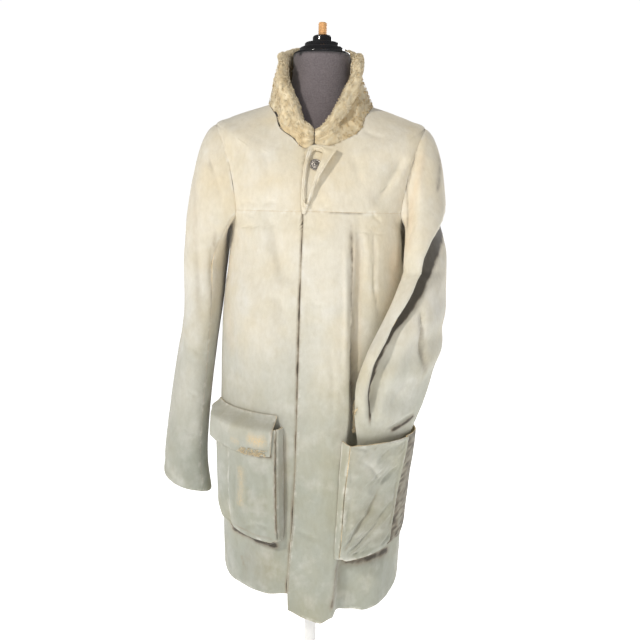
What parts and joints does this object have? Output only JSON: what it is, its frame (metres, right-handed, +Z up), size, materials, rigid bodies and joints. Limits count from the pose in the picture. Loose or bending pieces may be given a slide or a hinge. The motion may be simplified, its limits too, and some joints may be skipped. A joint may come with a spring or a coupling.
{
  "type": "fur jacket on a dress form",
  "caption": "Thigh-length sheepskin coat, leather side out, with a curly lamb fur collar, throat tab and bellows pockets, on a limbless dress form with a pole and a round base.",
  "frame": {"origin": "centre of the underside of the stand's round base, on the floor", "axes": "+Z up, the wearer faces -Y, +X is the wearer's left"},
  "size_m": [0.5625, 0.4102, 1.4994],
  "materials": {
    "skin": "matt suede, worn",
    "fur": "curly lamb fur",
    "button": "worn dark metal",
    "jersey": "fine charcoal jersey",
    "cap": "glossy black",
    "post": "light turned wood",
    "stand": "satin white"
  },
  "bodies": {
    "root": {"front_right": "skin", "front_left": "skin", "yoke_right": "skin", "yoke_left": "skin", "back": "skin", "sleeve_right_upper": "skin", "sleeve_right_under": "skin", "sleeve_left_upper": "skin", "sleeve_left_under": "skin", "throat_tab": "skin", "pocket_right_front": "skin", "pocket_right_gusset": "skin", "pocket_left_front": "skin", "pocket_left_gusset": "skin", "flap_right": "skin", "flap_left": "skin", "collar": "fur", "button": "button", "form_torso": "jersey", "form_neck_cap": "cap", "form_post": "post", "stand_pole": "stand", "stand_base": "stand"}
  },
  "joints": []
}
